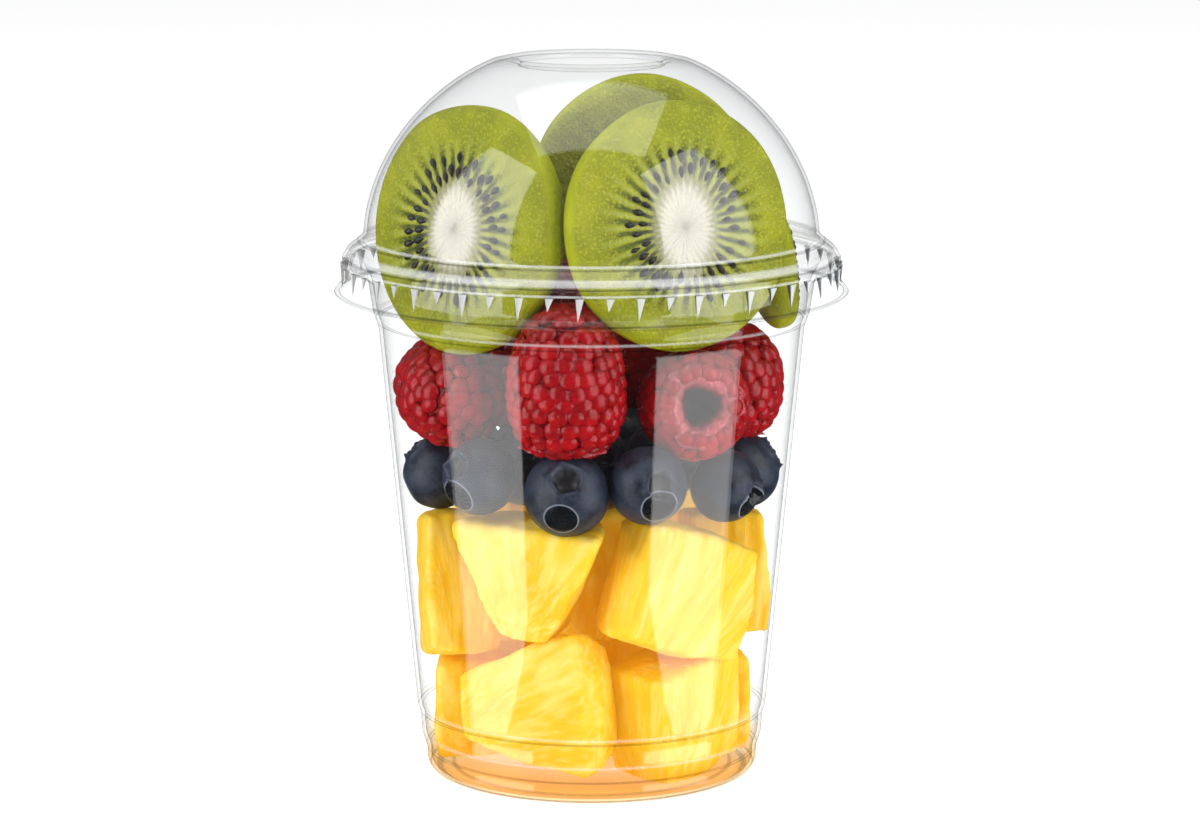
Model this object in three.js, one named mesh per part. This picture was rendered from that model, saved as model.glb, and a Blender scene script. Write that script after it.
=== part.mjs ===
// A clear plastic fruit cup: a thin tapered tumbler with a snap-on domed lid that has a round hole in
// its top, filled in layers with pineapple chunks, blueberries, raspberries and peeled kiwi halves.
// Millimetres, +Z up. The origin is the middle of the foot, on the surface that the cup stands on.
// The front is -Y. A bearing is an angle in degrees about +Z, 0 at the front and positive to the right.

import * as THREE from "three";

const { PI, sin, cos, sqrt, pow, hypot } = Math;

// Cup, outside radii and heights. The punt is the raised middle of the foot, the heel the ring above
// the foot, the stacking ledge the step that the next cup in a stack rests on.
const cup = {
  height: 105.4,
  wall: 0.8,
  puntRise: 1.2,
  puntDome: 0.6,
  puntRadius: 29.6,
  puntSlope: 2.6,
  footRadius: 32.6,
  heelRadius: 33.7,
  heelFoot: 1.6,
  heelTop: 4.2,
  stackRadius: 34.8,
  stackFoot: 7.4,
  stackFlare: 0.2,
  stackTop: 11.5,
  wallFootRadius: 35.6,
  wallFootHeight: 12.9,
  taper: 0.094,
  ledgeHeight: 91.4,
  ledgeStep: 0.9,
  ledgeTop: 93.6,
  neckFlare: 1.2,
  neckTop: 101.3,
  beadRadius: 1.5,
  beadCentre: 47.2,
};

// Lid, outside radii and heights. The skirt grips the cup's rim, the flange lies over it.
const lid = {
  wall: 0.7,
  skirtRadius: 51.8,
  skirtHeight: 98.2,
  bandRadius: 50.0,
  bandHeight: 100.4,
  flangeRadius: 50.2,
  flangeHeight: 105.0,
  flangeRound: 1.0,
  flangeRise: 1.8,
  domeRadius: 45.9,
  domeSpring: 107.5,
  domeFillet: 1.0,
  domeFoot: 109.6,
  domeTop: 146.0,
  domeEnd: 144.4,
  ridgeRadius: 16.6,
  ridgeHeight: 145.1,
  holeRadius: 14.0,
  lipRound: 0.5,
  lipDepth: 1.4,
};

// Segments round each kind of piece.
const roundSegments = { plastic: 32, kiwi: 18, raspberry: 12, blueberry: 10 };

// Colours, roughness.
const finishes = {
  plastic: { color: 0xf2f5f6, roughness: 0.05, metalness: 0, transparent: true, opacity: 0.35 },
  kiwi: { color: 0x9db52a, roughness: 0.45, metalness: 0 },
  raspberry: { color: 0xb3122a, roughness: 0.4, metalness: 0 },
  blueberry: { color: 0x2c3a55, roughness: 0.5, metalness: 0 },
  pineapple: { color: 0xf5c935, roughness: 0.4, metalness: 0 },
};

const radians = (degrees) => (degrees * PI) / 180;

const wallRadius = (z) => cup.wallFootRadius + (z - cup.wallFootHeight) * cup.taper;

// A closed or axis-to-axis outline of [radius, height] pairs, turned about +Z.
function turned(outline, segments) {
  const points = outline.map(([r, z]) => new THREE.Vector2(r, z));
  return new THREE.LatheGeometry(points, segments).rotateX(PI / 2);
}

// Unit vector square to the stretch from one outline point to the next, to its left.
function leftOf([r0, z0], [r1, z1]) {
  const length = hypot(r1 - r0, z1 - z0);
  return [(z0 - z1) / length, (r1 - r0) / length];
}

// The inner side of a sheet: the outside outline moved left by the wall, with mitred corners.
function innerSide(outside, wall) {
  const last = outside.length - 1;
  return outside.map(([r, z], index) => {
    const before = index > 0 ? leftOf(outside[index - 1], outside[index]) : null;
    const after = index < last ? leftOf(outside[index], outside[index + 1]) : null;
    const [r1, z1] = before ?? after;
    const [r2, z2] = after ?? before;
    const reach = wall / (1 + r1 * r2 + z1 * z2);
    return [r === 0 ? 0 : r + (r1 + r2) * reach, z + (z1 + z2) * reach];
  });
}

function named(name, geometry, finish) {
  const mesh = new THREE.Mesh(geometry, new THREE.MeshStandardMaterial(finishes[finish]));
  mesh.name = name;
  return mesh;
}

// Puts a mesh at a bearing, at a distance from the cup's axis and at a height.
function stand(mesh, bearing, distance, height) {
  const angle = radians(bearing);
  mesh.position.set(distance * sin(angle), -distance * cos(angle), height);
  return mesh;
}

// The cup: foot ring with a raised punt, a heel and a stacking foot, a straight tapered wall, a
// stacking ledge and a rolled bead at the rim, in one sheet of even thickness.
function makeCup() {
  const ledge = wallRadius(cup.ledgeHeight);
  const outside = [
    [0, cup.puntRise + cup.puntDome],
    [cup.puntRadius - cup.puntSlope, cup.puntRise],
    [cup.puntRadius, 0],
    [cup.footRadius, 0],
    [cup.heelRadius, cup.heelFoot],
    [cup.heelRadius, cup.heelTop],
    [cup.stackRadius, cup.stackFoot],
    [cup.stackRadius + cup.stackFlare, cup.stackTop],
    [cup.wallFootRadius, cup.wallFootHeight],
    [ledge, cup.ledgeHeight],
    [ledge + cup.ledgeStep, cup.ledgeTop],
    [ledge + cup.ledgeStep + cup.neckFlare, cup.neckTop],
  ];
  const bead = [];
  for (let step = -2; step <= 5; step += 1) {
    const angle = (step * PI) / 5;
    bead.push([
      cup.beadCentre + cup.beadRadius * cos(angle),
      cup.height - cup.beadRadius + cup.beadRadius * sin(angle),
    ]);
  }
  const inside = innerSide(outside, cup.wall).reverse();
  return turned([...outside, ...bead, ...inside], roundSegments.plastic);
}

// Outside radius of the dome at a height.
function domeRadius(z) {
  const rise = (z - lid.domeSpring) / (lid.domeTop - lid.domeSpring);
  return lid.holeRadius + (lid.domeRadius - lid.holeRadius) * pow(1 - rise * rise, 2 / 3);
}

// The lid: a skirt that grips the rim, a flange, and a full dome that ends in a low ridge and a
// rolled lip round the hole, in one sheet of even thickness.
function makeLid() {
  const outside = [
    [lid.skirtRadius, lid.skirtHeight],
    [lid.bandRadius, lid.bandHeight],
    [lid.flangeRadius, lid.flangeHeight],
    [lid.flangeRadius - lid.flangeRound, lid.flangeHeight + lid.flangeRise],
    [domeRadius(lid.domeFoot) + lid.domeFillet, lid.domeFoot - lid.domeFillet],
  ];
  const steps = 6;
  for (let step = 0; step <= steps; step += 1) {
    const z = lid.domeFoot + (lid.domeEnd - lid.domeFoot) * sin((step / steps) * (PI / 2));
    outside.push([domeRadius(z), z]);
  }
  outside.push(
    [lid.ridgeRadius, lid.ridgeHeight],
    [lid.holeRadius + lid.lipRound, lid.ridgeHeight - lid.lipRound],
    [lid.holeRadius, lid.ridgeHeight - lid.lipDepth],
  );
  const outline = [...outside, ...innerSide(outside, lid.wall).reverse()];
  return turned([...outline, outline[0]], roundSegments.plastic);
}

// A peeled kiwi half, local +Z out of its cut face: a nearly flat face, a soft shoulder, the widest
// circle just behind the face, and a rounded back.
function kiwiHalf(radius, depth) {
  const oval = 0.97;
  const shoulder = 3.4;
  const backSteps = 5;
  const outline = [[0, -depth]];
  for (let step = 1; step < backSteps; step += 1) {
    const angle = (step / backSteps) * (PI / 2);
    outline.push([radius * sin(angle), -shoulder - (depth - shoulder) * cos(angle)]);
  }
  outline.push([radius, -shoulder], [radius - 0.3 * shoulder, -0.3 * shoulder], [radius - shoulder, 0]);
  outline.push([0, 0.4]);
  return turned(outline, roundSegments.kiwi).scale(oval, 1, 1);
}

// A raspberry, local +Z from its open end to its tip: rows of drupelets swell the outside above and
// below a waist, round a hollow where the stem was.
function raspberry(radius, length) {
  const rows = 5;
  const waist = 0.38;
  const openEnd = 0.8;
  const roundness = 2.3;
  const furrow = 0.95;
  const outline = [
    [0, -0.1 * length],
    [0.2 * radius, -0.12 * length],
    [0.3 * radius, -0.47 * length],
  ];
  for (let step = 0; step < 2 * rows; step += 1) {
    const along = (step + 0.3) / (2 * rows);
    const below = (openEnd * (waist - along)) / waist;
    const above = (along - waist) / (1 - waist);
    const reach = sqrt(1 - pow(along < waist ? below : above, roundness));
    outline.push([radius * reach * (step % 2 === 0 ? furrow : 1), (along - 0.5) * length]);
  }
  outline.push([0, 0.5 * length]);
  return turned(outline, roundSegments.raspberry);
}

// A blueberry, local +Z out of its crown: a slightly flattened ball with a shallow dimple.
function blueberry(radius) {
  const half = 0.94 * radius;
  const sideSteps = 5;
  const outline = [[0, -half]];
  for (let step = 1; step < sideSteps; step += 1) {
    const angle = (step / sideSteps) * PI;
    outline.push([radius * sin(angle), -half * cos(angle)]);
  }
  outline.push([0.34 * radius, half], [0.2 * radius, 0.84 * half], [0, 0.8 * half]);
  return turned(outline, roundSegments.blueberry);
}

// A pineapple chunk, a wedge cut from a round slice: width along X, depth along Y, height along Z,
// soft edges. It narrows towards the core, and towards its lower end by the share in narrow; lean
// shifts its top sideways.
function pineappleChunk(width, depth, height, narrow, lean) {
  const coreNarrow = 0.4;
  const squareness = 10;
  const geometry = new THREE.BoxGeometry(2, 2, 2, 3, 3, 3);
  const place = geometry.getAttribute("position");
  const corner = new THREE.Vector3();
  for (let index = 0; index < place.count; index += 1) {
    corner.fromBufferAttribute(place, index);
    const powers = corner.toArray().map((side) => pow(side, squareness));
    corner.divideScalar(pow(powers[0] + powers[1] + powers[2], 1 / squareness));
    const keep = (1 - (narrow * (1 - corner.z)) / 2) * (1 - (coreNarrow * (1 + corner.y)) / 2);
    place.setXYZ(
      index,
      (corner.x * keep * width) / 2 + lean * corner.z,
      (corner.y * depth) / 2,
      (corner.z * height) / 2,
    );
  }
  return geometry;
}

const fruitCup = new THREE.Group();
fruitCup.add(named("cup", makeCup(), "plastic"), named("lid", makeLid(), "plastic"));

// Kiwi halves: x, y and height of the face's middle, the face's bearing, its upward tilt, radius, depth.
const kiwiHalves = [
  { name: "kiwi_front_left", at: [-26.9, -15.5, 112.5], faces: -42, tilt: 7, radius: 24.9, depth: 16 },
  { name: "kiwi_front_right", at: [18.3, -24.1, 114.1], faces: 27, tilt: 7, radius: 25.0, depth: 16 },
  { name: "kiwi_rear_top", at: [10.6, 5.2, 117.0], faces: 6, tilt: -5, radius: 23.7, depth: 18 },
  { name: "kiwi_rear_left", at: [-24.5, 23.5, 109.0], faces: 224, tilt: 12, radius: 19, depth: 15 },
  { name: "kiwi_right", at: [40.2, 6, 102], faces: 98, tilt: 6, radius: 12.5, depth: 8.5 },
];
for (const { name, at, faces, tilt, radius, depth } of kiwiHalves) {
  const mesh = named(name, kiwiHalf(radius, depth), "kiwi");
  mesh.position.set(...at);
  mesh.rotation.set(radians(90 - tilt), 0, radians(faces), "ZYX");
  fruitCup.add(mesh);
}

// Raspberries: bearing, distance from the axis and height of the middle, the bearing and the dip of
// the tip below level, radius, length.
const raspberries = [
  { at: [-76, 28.8, 78.2], tip: [16, 6], radius: 11.0, length: 25 },
  { at: [-10, 27.8, 84.2], tip: [0, -86], radius: 11.9, length: 28 },
  { at: [46, 27.6, 78.0], tip: [190, 8], radius: 11.1, length: 21 },
  { at: [101, 28.4, 79.0], tip: [80, -80], radius: 11.6, length: 21 },
  { at: [160, 28.0, 79.0], tip: [160, 76], radius: 12.0, length: 23 },
  { at: [219, 28.4, 78.2], tip: [210, 84], radius: 11.8, length: 22 },
  { at: [-60, 6.8, 88.4], tip: [0, 90], radius: 11.2, length: 30 },
];
raspberries.forEach(({ at, tip, radius, length }, index) => {
  const mesh = named(`raspberry_${index + 1}`, raspberry(radius, length), "raspberry");
  stand(mesh, ...at);
  mesh.rotation.set(radians(90 + tip[1]), 0, radians(tip[0]), "ZYX");
  fruitCup.add(mesh);
});

// Blueberries: bearing, height, radius; the ring lies against the wall, the rest within it.
const berryGap = 0.4;
const blueberries = [
  [-90, 60.6, 8.1],
  [-45, 64.0, 8.1],
  [-9, 62.0, 8.5],
  [21, 63.7, 8.1],
  [59, 61.0, 7.8],
  [95, 60.6, 8.2],
  [131, 61.4, 8.0],
  [166, 60.2, 8.3],
  [201, 61.0, 8.0],
  [237, 61.4, 8.1],
];
const crownTilts = [40, 65, 30, 80, 100, 60, 20, 75, 50, 110];
blueberries.forEach(([bearing, height, radius], index) => {
  const mesh = named(`blueberry_${index + 1}`, blueberry(radius), "blueberry");
  stand(mesh, bearing, wallRadius(height) - cup.wall - radius - berryGap, height);
  mesh.rotation.set(radians(crownTilts[index]), 0, radians(bearing), "ZYX");
  fruitCup.add(mesh);
});
const innerRing = { count: 5, bearing: 6, distance: 14.6, height: 63.6, radius: 8.5, crownTilt: 50 };
for (let index = 0; index < innerRing.count; index += 1) {
  const bearing = innerRing.bearing + (360 / innerRing.count) * index;
  const name = `blueberry_${blueberries.length + index + 1}`;
  const mesh = named(name, blueberry(innerRing.radius), "blueberry");
  stand(mesh, bearing, innerRing.distance, innerRing.height);
  mesh.rotation.set(radians(innerRing.crownTilt), 0, radians(bearing), "ZYX");
  fruitCup.add(mesh);
}

// Pineapple chunks: bearing, distance and height of the middle, width, depth and height, the share
// that the lower end is narrowed by, the sideways lean, the turn about +Z on top of the bearing, and
// the roll, clockwise as seen from outside. The last two stand in the cup's middle.
const chunks = [
  { at: [-29, 22.6, 18.0], size: [34, 14, 29], narrow: 0.62, lean: 0, turn: 2, roll: 84 },
  { at: [46, 21.4, 14.2], size: [31, 17, 23], narrow: 0.1, lean: 0, turn: 10, roll: -5 },
  { at: [-92.5, 23.0, 13.0], size: [20.6, 16, 20], narrow: 0.1, lean: -1, turn: 0, roll: 5 },
  { at: [104, 22.9, 13.1], size: [22, 16, 20], narrow: 0.1, lean: 1, turn: 0, roll: -4 },
  { at: [160, 21.7, 14.4], size: [24, 18, 22], narrow: 0.15, lean: 1, turn: 0, roll: 6 },
  { at: [220.5, 21.9, 14.0], size: [23, 18, 21], narrow: 0.1, lean: 0, turn: 0, roll: -4 },
  { at: [-26, 24.0, 43.4], size: [36, 16, 23], narrow: 0.75, lean: 0, turn: 2, roll: 2 },
  { at: [40, 24.2, 40.8], size: [33, 16, 24], narrow: -0.05, lean: 0, turn: 0, roll: 18 },
  { at: [-82, 26.9, 38.6], size: [23, 15, 28.6], narrow: 0.1, lean: -1, turn: 0, roll: -14 },
  { at: [102, 27.4, 39.3], size: [21, 15, 25], narrow: 0.1, lean: 2, turn: 0, roll: 6 },
  { at: [156, 25.8, 40.2], size: [29, 16, 23.6], narrow: 0.15, lean: 0, turn: 0, roll: 8 },
  { at: [216, 26.0, 40.2], size: [29, 16, 23.6], narrow: 0.2, lean: 0, turn: 0, roll: -8 },
  { at: [0, 0, 15.5], size: [20, 16, 25], narrow: 0.1, lean: 0, turn: 20, roll: 0 },
  { at: [300, 0.6, 41.2], size: [25, 21, 26], narrow: 0.1, lean: 0, turn: 110, roll: 0 },
];
chunks.forEach(({ at, size, narrow, lean, turn, roll }, index) => {
  const mesh = named(`pineapple_${index + 1}`, pineappleChunk(...size, narrow, lean), "pineapple");
  stand(mesh, ...at);
  mesh.rotation.set(0, radians(roll), radians(at[0] + turn), "ZYX");
  fruitCup.add(mesh);
});

export default fruitCup;
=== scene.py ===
# A clear plastic fruit cup: pineapple chunks, blueberries, raspberries and peeled kiwi halves in
# layers, in a thin tapered tumbler under a snap-on domed lid with a round hole.

from math import cos, pi, radians, sin, sqrt, tau

import bpy
import numpy as np
from mathutils import Matrix, Vector, noise


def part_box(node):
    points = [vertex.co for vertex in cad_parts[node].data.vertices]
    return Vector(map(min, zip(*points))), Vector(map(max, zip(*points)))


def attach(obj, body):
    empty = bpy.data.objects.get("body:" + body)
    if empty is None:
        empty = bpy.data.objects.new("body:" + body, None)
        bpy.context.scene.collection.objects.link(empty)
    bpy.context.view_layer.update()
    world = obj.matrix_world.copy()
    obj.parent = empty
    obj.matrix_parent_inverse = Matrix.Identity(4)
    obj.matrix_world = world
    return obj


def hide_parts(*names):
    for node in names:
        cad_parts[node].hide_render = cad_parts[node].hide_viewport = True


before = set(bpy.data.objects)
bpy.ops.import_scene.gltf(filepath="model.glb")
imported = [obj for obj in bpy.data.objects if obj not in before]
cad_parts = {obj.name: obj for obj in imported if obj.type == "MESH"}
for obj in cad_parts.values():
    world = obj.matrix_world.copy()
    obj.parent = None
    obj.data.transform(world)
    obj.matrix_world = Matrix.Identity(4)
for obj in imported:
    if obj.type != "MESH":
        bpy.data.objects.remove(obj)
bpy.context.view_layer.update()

# ----------------------------------------------------------
# The table and the light: a pale table that runs out of sight, one tall soft panel of light at
# either side of the camera, one soft panel overhead, and a dim grey room that is darker low down.
# ----------------------------------------------------------

mm = 0.001
scene = bpy.context.scene
scene.view_settings.view_transform = "Standard"


class Wire:
    """One output of a shader node; sums, products and the like of wires are Math nodes."""

    def __init__(self, tree, socket=None):
        self.tree = tree
        self.socket = socket

    def node(self, kind, settings=None, sockets=None, out=0):
        """Adds a node: its settings first, then the values or wires of its sockets."""
        added = self.tree.nodes.new(kind)
        for setting, value in (settings or {}).items():
            setattr(added, setting, value)
        for name, value in (sockets or {}).items():
            if isinstance(value, Wire):
                self.tree.links.new(value.socket, added.inputs[name])
            elif added.inputs[name].type == "RGBA" and len(value) == 3:
                added.inputs[name].default_value = (*value, 1)
            else:
                added.inputs[name].default_value = value
        return Wire(self.tree, added.outputs[out] if added.outputs else None)

    def math(self, operation, first, second=0.0):
        return self.node("ShaderNodeMath", {"operation": operation}, {0: first, 1: second})

    def __add__(self, other):
        return self.math("ADD", self, other)

    __radd__ = __add__

    def __sub__(self, other):
        return self.math("SUBTRACT", self, other)

    def __rsub__(self, other):
        return self.math("SUBTRACT", other, self)

    def __mul__(self, other):
        return self.math("MULTIPLY", self, other)

    __rmul__ = __mul__

    def __truediv__(self, other):
        return self.math("DIVIDE", self, other)

    def __pow__(self, other):
        return self.math("POWER", self, other)

    def step(self, low, high):
        """0 below low and 1 above high, with a smooth rise between; high may be the lower one."""
        if high < low:
            return 1 - self.step(high, low)
        settings = {"interpolation_type": "SMOOTHSTEP"}
        return self.node("ShaderNodeMapRange", settings, {0: self, 1: low, 2: high})

    def paint(self, under, over):
        """The colour under, with the colour over laid on it as strongly as this wire says."""
        settings = {"data_type": "RGBA"}
        return self.node("ShaderNodeMix", settings, {0: self, 6: under, 7: over}, 2)

    def noise(self, place, scale, detail=2.0, roughness=0.5):
        """Soft noise from about 0 to 1 at a place."""
        sockets = {"Vector": place, "Scale": scale, "Detail": detail, "Roughness": roughness}
        return self.node("ShaderNodeTexNoise", None, sockets)

    def object_place(self):
        """Where a point of the piece lies, on the cup's axes."""
        return self.node("ShaderNodeTexCoord", None, None, "Object")

    def bump(self, height, strength, distance):
        """The surface's direction where this height is pressed into it, distance in millimetres."""
        sockets = {"Strength": strength, "Distance": distance * mm, "Height": height}
        return self.node("ShaderNodeBump", None, sockets)

    def own(self, attribute, out="Vector"):
        """What a piece's own attribute says."""
        return self.node("ShaderNodeAttribute", {"attribute_name": attribute}, None, out)

    def parts(self):
        """The three numbers of a vector."""
        split = self.node("ShaderNodeSeparateXYZ", None, {0: self})
        outputs = split.socket.node.outputs
        return [Wire(self.tree, outputs[axis]) for axis in range(3)]


def new_material(name):
    """An empty material and the start of its nodes."""
    material = bpy.data.materials.new(name)
    material.use_nodes = True
    material.node_tree.nodes.clear()
    return material, Wire(material.node_tree)


def show(shader):
    """Makes a shader the surface of its material."""
    shader.node("ShaderNodeOutputMaterial", None, {"Surface": shader})


def surface(start, sockets):
    """Makes a surface with these values the surface of its material."""
    show(start.node("ShaderNodeBsdfPrincipled", None, sockets))


def panel(name, place, aim, width, height, radiance):
    """A rectangular soft light at a place, facing aim, of an even brightness."""
    lamp = bpy.data.lights.new(name, "AREA")
    lamp.shape = "RECTANGLE"
    lamp.size = width
    lamp.size_y = height
    lamp.energy = radiance * pi * width * height
    panel_object = bpy.data.objects.new(name, lamp)
    panel_object.location = place
    panel_object.rotation_euler = (Vector(place) - Vector(aim)).to_track_quat("Z", "Y").to_euler()
    scene.collection.objects.link(panel_object)
    return panel_object


room_above, room_below = (0.21, 0.21, 0.215), (0.05, 0.05, 0.05)
world = bpy.data.worlds.new("room")
world.use_nodes = True
room_light = Wire(world.node_tree, world.node_tree.nodes["Background"].outputs[0])
room_up = room_light.node("ShaderNodeTexCoord", None, None, "Generated").parts()[2]
room_colour = room_up.step(-0.12, 0.3).paint(room_below, room_above)
world.node_tree.links.new(room_colour.socket, room_light.socket.node.inputs["Color"])
scene.world = world

panel_reach = 0.95
panel_foot, panel_head = -0.42, 1.42
panel_radiance = 2.8
for side, label, width in ((-64, "left", 0.84), (62, "right", 0.94)):
    across = panel_reach * sin(radians(side))
    toward = -panel_reach * cos(radians(side))
    middle = (panel_foot + panel_head) / 2
    panel(
        f"panel_{label}",
        (across, toward, middle),
        (0, 0, middle),
        width,
        panel_head - panel_foot,
        panel_radiance,
    )
above_side, above_radiance = 1.1, 1.9
panel("panel_above", (0, 0.05, 1.35), (0, 0, 0.1), above_side, above_side, above_radiance)

table_reach = 6.0
table_mesh = bpy.data.meshes.new("table")
corners = [(-table_reach, -table_reach, 0), (table_reach, -table_reach, 0)]
corners += [(table_reach, table_reach, 0), (-table_reach, table_reach, 0)]
table_mesh.from_pydata(corners, [], [(0, 1, 2, 3)])
table = bpy.data.objects.new("table", table_mesh)
scene.collection.objects.link(table)
table_material, start = new_material("pale_table")
surface(
    start,
    {
        "Base Color": (0.86, 0.86, 0.86),
        "Roughness": 0.9,
        "Emission Color": (1, 1, 1),
        "Emission Strength": 0.70,
    },
)
table_mesh.materials.append(table_material)
table.visible_glossy = False

camera_drop = 10.415  # degrees below level
camera_data = bpy.data.cameras.new("camera")
camera_data.lens = 125.9
camera_data.clip_start = 0.01
camera = bpy.data.objects.new("camera", camera_data)
camera.location = (0.001715, -0.8359, 0.2250)
camera.rotation_euler = (radians(90 - camera_drop), 0, 0)
scene.collection.objects.link(camera)
scene.camera = camera

# ----------------------------------------------------------
# Clear plastic: thin thermoformed sheet, colourless, with a wet gloss and grey edges where the eye
# looks along the sheet.
# ----------------------------------------------------------


def clear_plastic(name, painted_highlight_bends, painted_shade_bends, painted_highlight_strength, amber_reflection=0.0):
    """Clear sheet: see-through, greyer towards its outline. A bend is a height and a half width in
    millimetres at a bend of the sheet where a line is painted round it: white as a painted highlight,
    dark grey as painted shade. The amber reflection tints the lowest part amber, a painted reflection of
    the fruit."""
    material, start = new_material(name)
    place = start.object_place()
    height = place.parts()[2] / mm
    ripple = start.noise(place, 60.0, 1.0)
    normal = start.bump(ripple, 0.05, 0.4)
    facing = start.node("ShaderNodeLayerWeight", None, {"Blend": 0.5}, "Facing")
    sheet = start.node("ShaderNodeBsdfTransparent", None, {"Color": (0.985, 0.988, 0.988)})
    # Painted reflection: the lowest part of the foot is tinted amber, standing in for the fruit's amber
    # glow reflected there.
    if amber_reflection:
        tinted = start.node("ShaderNodeBsdfTransparent", None, {"Color": (0.98, 0.80, 0.48)})
        amber_band = height.step(8.0, 2.5) * height.step(-1.5, 2.0) * amber_reflection
        sheet = start.node("ShaderNodeMixShader", None, {0: amber_band, 1: sheet, 2: tinted})
    edge = start.node("ShaderNodeBsdfTransparent", None, {"Color": (0.70, 0.72, 0.73)})
    sheet = start.node("ShaderNodeMixShader", None, {0: facing**16 * 0.75, 1: sheet, 2: edge})
    white = start.node("ShaderNodeBsdfDiffuse", None, {"Color": (0.93, 0.94, 0.95)})
    grey = start.node("ShaderNodeBsdfTransparent", None, {"Color": (0.22, 0.23, 0.24)})
    # Painted light: a white line is painted round the sheet at each highlight bend as a highlight, and a
    # dark grey line at each shade bend as shade.
    for bends, painted_line_shader, strength in ((painted_highlight_bends, white, painted_highlight_strength), (painted_shade_bends, grey, 0.4)):
        for middle, half_width in bends:
            away = start.math("ABSOLUTE", height - middle)
            line = away.step(half_width, half_width * 0.4) * strength
            sheet = start.node("ShaderNodeMixShader", None, {0: line, 1: sheet, 2: painted_line_shader})
    gloss = start.node(
        "ShaderNodeBsdfGlossy", None, {"Color": (1, 1, 1), "Roughness": 0.008, "Normal": normal}
    )
    shine = 0.035 + 0.36 * facing**6
    show(start.node("ShaderNodeMixShader", None, {0: shine, 1: sheet, 2: gloss}))
    return material


# The cup's painted lines: white painted highlights and grey painted shade at these heights, and a
# painted amber reflection in the foot.
cup_plastic = clear_plastic(
    "clear_plastic",
    [(93.6, 0.35), (13.4, 0.3), (7.6, 0.35)],
    [(92.5, 0.2), (12.5, 0.2), (4.4, 0.2), (0.6, 0.25)],
    painted_highlight_strength=0.14,
    amber_reflection=0.75,
)


def shell(name, rings, material, smooth=True):
    """A piece from rings of points, each joined to the next; a ring of one point closes an end."""
    points = []
    starts = []
    faces = []
    for ring in rings:
        starts.append(len(points))
        points.extend(ring)
    for low, high in zip(range(len(rings)), range(1, len(rings))):
        a, b = starts[low], starts[high]
        count = max(len(rings[low]), len(rings[high]))
        for i in range(count):
            j = (i + 1) % count
            if len(rings[low]) == 1:
                faces.append((a, b + j, b + i))
            elif len(rings[high]) == 1:
                faces.append((a + i, a + j, b))
            else:
                faces.append((a + i, a + j, b + j, b + i))
    return piece(name, points, faces, material, smooth)


def piece(name, points, faces, material, smooth=True):
    """A named mesh object at the origin."""
    mesh = bpy.data.meshes.new(name)
    mesh.from_pydata([tuple(point) for point in points], [], faces)
    mesh.materials.append(material)
    if smooth:
        mesh.shade_smooth()
    made = bpy.data.objects.new(name, mesh)
    scene.collection.objects.link(made)
    return made


def ring_at(reach, height, count, flat=1.0):
    """Points round the Z axis at a height; flat narrows the ring along X."""
    turns = [tau * i / count for i in range(count)]
    return [(flat * reach * cos(turn), reach * sin(turn), height) for turn in turns]


def rounded(outline, radius, steps=5):
    """An outline of (radius, height) points with each inner corner cut round."""
    curve = [outline[0]]
    for before, corner, after in zip(outline, outline[1:], outline[2:]):
        before, corner, after = Vector(before), Vector(corner), Vector(after)
        reach_in = min(radius, (corner - before).length * 0.45)
        reach_out = min(radius, (after - corner).length * 0.45)
        enter = corner + (before - corner).normalized() * reach_in
        leave = corner + (after - corner).normalized() * reach_out
        for step in range(steps + 1):
            t = step / steps
            point = enter * (1 - t) ** 2 + corner * 2 * t * (1 - t) + leave * t**2
            curve.append(tuple(point))
    return curve + [outline[-1]]


def offset(curve, wall):
    """The curve moved left by the wall, square to itself."""
    moved = []
    for index, (r, z) in enumerate(curve):
        before = Vector(curve[max(index - 1, 0)])
        after = Vector(curve[min(index + 1, len(curve) - 1)])
        along = (after - before).normalized()
        moved.append((0.0 if r == 0 else r - along.y * wall, z + along.x * wall))
    return moved


def turned(name, outline, material, columns, closed=False):
    """An outline of (radius, height) points in millimetres turned round the cup's axis."""
    rings = []
    for r, z in outline + outline[:1] if closed else outline:
        rings.append(ring_at(r * mm, z * mm, columns) if r else [(0, 0, z * mm)])
    return shell(name, rings, material)


def finish_piece(made, slot, *nodes):
    """Hangs a finished piece on the one body and hides the solids of the nodes it stands for. The slot
    is not used.
    """
    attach(made, "root")
    if nodes:
        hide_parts(*nodes)


# ----------------------------------------------------------
# The cup: one thermoformed tumbler with a raised middle in its foot, a stacking foot, a straight
# tapered wall, a stacking ledge under the rim and a rolled bead. It replaces the coarser solid.
# ----------------------------------------------------------

sheet_columns = 192
cup_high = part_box("cup")[1]
cup_height = cup_high[2] / mm
rim_radius = cup_high[0] / mm
cup_wall, cup_bend = 0.8, 0.9
bead_radius = 1.5
bead_centre = rim_radius - bead_radius
wall_foot_radius, wall_foot_height = 35.6, 12.9
taper = 0.094


def wall_radius(height):
    """Outside radius of the straight wall."""
    return wall_foot_radius + (height - wall_foot_height) * taper


ledge_height = 91.4
ledge_radius = wall_radius(ledge_height)
neck_top = cup_height - bead_radius - 2.6
foot_outline = [
    (0, 1.8),
    (27.0, 1.2),
    (29.6, 0),
    (32.6, 0),
    (33.7, 1.6),
    (33.7, 4.2),
    (34.8, 7.4),
    (35.0, 11.5),
    (wall_foot_radius, wall_foot_height),
    (ledge_radius, ledge_height),
    (ledge_radius + 0.9, ledge_height + 2.2),
    (ledge_radius + 2.1, neck_top),
]
cup_outside = rounded(foot_outline, cup_bend)
bead = []
for step in range(-4, 11):
    angle = step * pi / 10
    bead_height = cup_height - bead_radius + bead_radius * sin(angle)
    bead.append((bead_centre + bead_radius * cos(angle), bead_height))
cup_outline = cup_outside + bead + offset(cup_outside, cup_wall)[::-1]
cup = turned("tumbler", cup_outline, cup_plastic, sheet_columns)
finish_piece(cup, "clear_plastic", "cup")

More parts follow.
